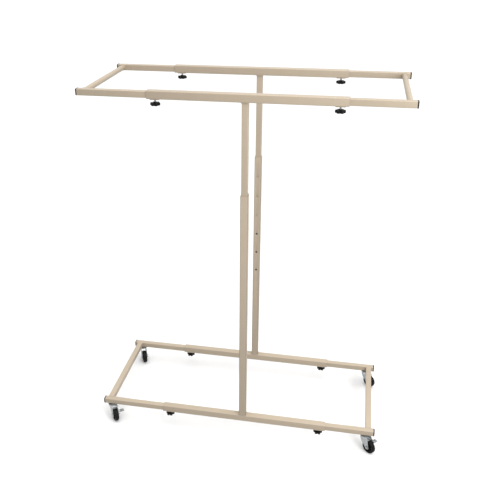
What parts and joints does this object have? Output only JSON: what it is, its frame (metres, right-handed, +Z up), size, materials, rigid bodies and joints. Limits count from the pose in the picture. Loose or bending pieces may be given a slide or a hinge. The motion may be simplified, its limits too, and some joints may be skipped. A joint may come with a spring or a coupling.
{
  "type": "double bar garment rack",
  "caption": "Rolling garment rack: parallel hang bars on telescoping square posts, sliding end frames with clamp knobs, and swivel casters.",
  "frame": {"origin": "on the floor, midway between the centre lines of the two posts", "axes": "+X along the hang bars, to the right seen from the front; +Y from the front bar to the rear bar; +Z up"},
  "size_m": [1.3, 0.5688, 1.6073],
  "materials": {
    "beige_powder_coat": "satin",
    "knob_plastic": "matte",
    "cap_plastic": "matte",
    "wheel_rubber": "satin",
    "zinc_steel": "satin"
  },
  "bodies": {
    "stand": {"base_front_sleeve": "beige_powder_coat", "base_rear_sleeve": "beige_powder_coat", "front_lower_post": "beige_powder_coat", "rear_lower_post": "beige_powder_coat", "base_clamp_plates": "beige_powder_coat"},
    "top_carriage": {"front_upper_post": "beige_powder_coat", "rear_upper_post": "beige_powder_coat", "top_front_sleeve": "beige_powder_coat", "top_rear_sleeve": "beige_powder_coat", "top_clamp_plates": "beige_powder_coat", "front_button_spring": "zinc_steel", "rear_button_spring": "zinc_steel"},
    "base_left_frame": {"base_left_front_arm": "beige_powder_coat", "base_left_rear_arm": "beige_powder_coat", "base_left_cross_bar": "beige_powder_coat", "base_left_end_caps": "cap_plastic", "base_left_caster_nuts": "zinc_steel", "front_left_stem": "zinc_steel", "rear_left_stem": "zinc_steel"},
    "top_left_frame": {"top_left_front_arm": "beige_powder_coat", "top_left_rear_arm": "beige_powder_coat", "top_left_cross_bar": "beige_powder_coat", "top_left_end_caps": "cap_plastic"},
    "base_right_frame": {"base_right_front_arm": "beige_powder_coat", "base_right_rear_arm": "beige_powder_coat", "base_right_cross_bar": "beige_powder_coat", "base_right_end_caps": "cap_plastic", "base_right_caster_nuts": "zinc_steel", "front_right_stem": "zinc_steel", "rear_right_stem": "zinc_steel"},
    "top_right_frame": {"top_right_front_arm": "beige_powder_coat", "top_right_rear_arm": "beige_powder_coat", "top_right_cross_bar": "beige_powder_coat", "top_right_end_caps": "cap_plastic"},
    "base_front_left_knob": {"base_front_left_knob": "knob_plastic"},
    "base_front_right_knob": {"base_front_right_knob": "knob_plastic"},
    "base_rear_left_knob": {"base_rear_left_knob": "knob_plastic"},
    "base_rear_right_knob": {"base_rear_right_knob": "knob_plastic"},
    "top_front_left_knob": {"top_front_left_knob": "knob_plastic"},
    "top_front_right_knob": {"top_front_right_knob": "knob_plastic"},
    "top_rear_left_knob": {"top_rear_left_knob": "knob_plastic"},
    "top_rear_right_knob": {"top_rear_right_knob": "knob_plastic"},
    "front_snap_button": {"front_snap_button": "beige_powder_coat"},
    "rear_snap_button": {"rear_snap_button": "beige_powder_coat"},
    "front_stop_button": {"front_stop_button": "zinc_steel"},
    "front_left_caster": {"front_left_fork": "zinc_steel", "front_left_axle": "zinc_steel"},
    "front_left_wheel": {"front_left_wheel": "wheel_rubber"},
    "front_left_brake": {"front_left_brake": "zinc_steel"},
    "front_right_caster": {"front_right_fork": "zinc_steel", "front_right_axle": "zinc_steel"},
    "front_right_wheel": {"front_right_wheel": "wheel_rubber"},
    "front_right_brake": {"front_right_brake": "zinc_steel"},
    "rear_left_caster": {"rear_left_fork": "zinc_steel", "rear_left_axle": "zinc_steel"},
    "rear_left_wheel": {"rear_left_wheel": "wheel_rubber"},
    "rear_right_caster": {"rear_right_fork": "zinc_steel", "rear_right_axle": "zinc_steel"},
    "rear_right_wheel": {"rear_right_wheel": "wheel_rubber"}
  },
  "joints": [
    {"name": "height_slide", "type": "slide", "parent": "stand", "child": "top_carriage", "axis": [0, 0, 1], "range_m": [-0.2928, 0.1952], "deforming": ["front_snap_button", "rear_snap_button", "front_stop_button"]},
    {"name": "base_left_slide", "type": "slide", "parent": "stand", "child": "base_left_frame", "axis": [-1, 0, 0], "range_m": [-0.205, 0.064]},
    {"name": "base_right_slide", "type": "slide", "parent": "stand", "child": "base_right_frame", "axis": [1, 0, 0], "range_m": [-0.147, 0.122]},
    {"name": "top_left_slide", "type": "slide", "parent": "top_carriage", "child": "top_left_frame", "axis": [-1, 0, 0], "range_m": [-0.195, 0.074]},
    {"name": "top_right_slide", "type": "slide", "parent": "top_carriage", "child": "top_right_frame", "axis": [1, 0, 0], "range_m": [-0.167, 0.102]},
    {"name": "base_front_left_knob_turn", "type": "hinge", "parent": "stand", "child": "base_front_left_knob", "pos_m": [-0.3415, -0.248, 0.0687], "axis": [0, 0, 1], "range_deg": [0, 720]},
    {"name": "base_front_right_knob_turn", "type": "hinge", "parent": "stand", "child": "base_front_right_knob", "pos_m": [0.3585, -0.248, 0.0687], "axis": [0, 0, 1], "range_deg": [0, 720]},
    {"name": "base_rear_left_knob_turn", "type": "hinge", "parent": "stand", "child": "base_rear_left_knob", "pos_m": [-0.3585, 0.248, 0.0687], "axis": [0, 0, 1], "range_deg": [0, 720]},
    {"name": "base_rear_right_knob_turn", "type": "hinge", "parent": "stand", "child": "base_rear_right_knob", "pos_m": [0.3415, 0.248, 0.0687], "axis": [0, 0, 1], "range_deg": [0, 720]},
    {"name": "top_front_left_knob_turn", "type": "hinge", "parent": "top_carriage", "child": "top_front_left_knob", "pos_m": [-0.3415, -0.248, 1.56145], "axis": [0, 0, 1], "range_deg": [0, 720]},
    {"name": "top_front_right_knob_turn", "type": "hinge", "parent": "top_carriage", "child": "top_front_right_knob", "pos_m": [0.3585, -0.248, 1.56145], "axis": [0, 0, 1], "range_deg": [0, 720]},
    {"name": "top_rear_left_knob_turn", "type": "hinge", "parent": "top_carriage", "child": "top_rear_left_knob", "pos_m": [-0.3585, 0.248, 1.56145], "axis": [0, 0, 1], "range_deg": [0, 720]},
    {"name": "top_rear_right_knob_turn", "type": "hinge", "parent": "top_carriage", "child": "top_rear_right_knob", "pos_m": [0.3415, 0.248, 1.56145], "axis": [0, 0, 1], "range_deg": [0, 720]},
    {"name": "front_snap_button_press", "type": "slide", "parent": "top_carriage", "child": "front_snap_button", "axis": [0, -1, 0], "range_m": [0, 0.006], "stiffness_N_per_m": 900, "springref_m": -0.001, "deforming": ["front_button_spring"]},
    {"name": "rear_snap_button_press", "type": "slide", "parent": "top_carriage", "child": "rear_snap_button", "axis": [0, 1, 0], "range_m": [0, 0.006], "stiffness_N_per_m": 900, "springref_m": -0.001, "deforming": ["rear_button_spring"]},
    {"name": "front_stop_button_press", "type": "slide", "parent": "top_carriage", "child": "front_stop_button", "axis": [-1, 0, 0], "range_m": [0, 0.004], "stiffness_N_per_m": 900, "springref_m": -0.001},
    {"name": "front_left_swivel", "type": "hinge", "parent": "base_left_frame", "child": "front_left_caster", "pos_m": [-0.6295, -0.248, 0.086], "axis": [0, 0, 1], "continuous": true},
    {"name": "front_left_wheel_roll", "type": "hinge", "parent": "front_left_caster", "child": "front_left_wheel", "pos_m": [-0.61325, -0.26956, 0.032], "axis": [0.7986, 0.6018, 0], "continuous": true},
    {"name": "front_left_brake_press", "type": "hinge", "parent": "front_left_caster", "child": "front_left_brake", "pos_m": [-0.61746, -0.26397, 0.0675], "axis": [0.7986, 0.6018, 0], "range_deg": [0, 15]},
    {"name": "front_right_swivel", "type": "hinge", "parent": "base_right_frame", "child": "front_right_caster", "pos_m": [0.5715, -0.248, 0.086], "axis": [0, 0, 1], "continuous": true},
    {"name": "front_right_wheel_roll", "type": "hinge", "parent": "front_right_caster", "child": "front_right_wheel", "pos_m": [0.59157, -0.26607, 0.032], "axis": [0.6691, 0.7431, 0], "continuous": true},
    {"name": "front_right_brake_press", "type": "hinge", "parent": "front_right_caster", "child": "front_right_brake", "pos_m": [0.58636, -0.26138, 0.0675], "axis": [0.6691, 0.7431, 0], "range_deg": [0, 15]},
    {"name": "rear_left_swivel", "type": "hinge", "parent": "base_left_frame", "child": "rear_left_caster", "pos_m": [-0.6295, 0.248, 0.086], "axis": [0, 0, 1], "continuous": true},
    {"name": "rear_left_wheel_roll", "type": "hinge", "parent": "rear_left_caster", "child": "rear_left_wheel", "pos_m": [-0.61641, 0.22439, 0.032], "axis": [0.8746, 0.4848, 0], "continuous": true},
    {"name": "rear_right_swivel", "type": "hinge", "parent": "base_right_frame", "child": "rear_right_caster", "pos_m": [0.5715, 0.248, 0.086], "axis": [0, 0, 1], "continuous": true},
    {"name": "rear_right_wheel_roll", "type": "hinge", "parent": "rear_right_caster", "child": "rear_right_wheel", "pos_m": [0.59188, 0.23029, 0.032], "axis": [0.6561, 0.7547, 0], "continuous": true}
  ]
}
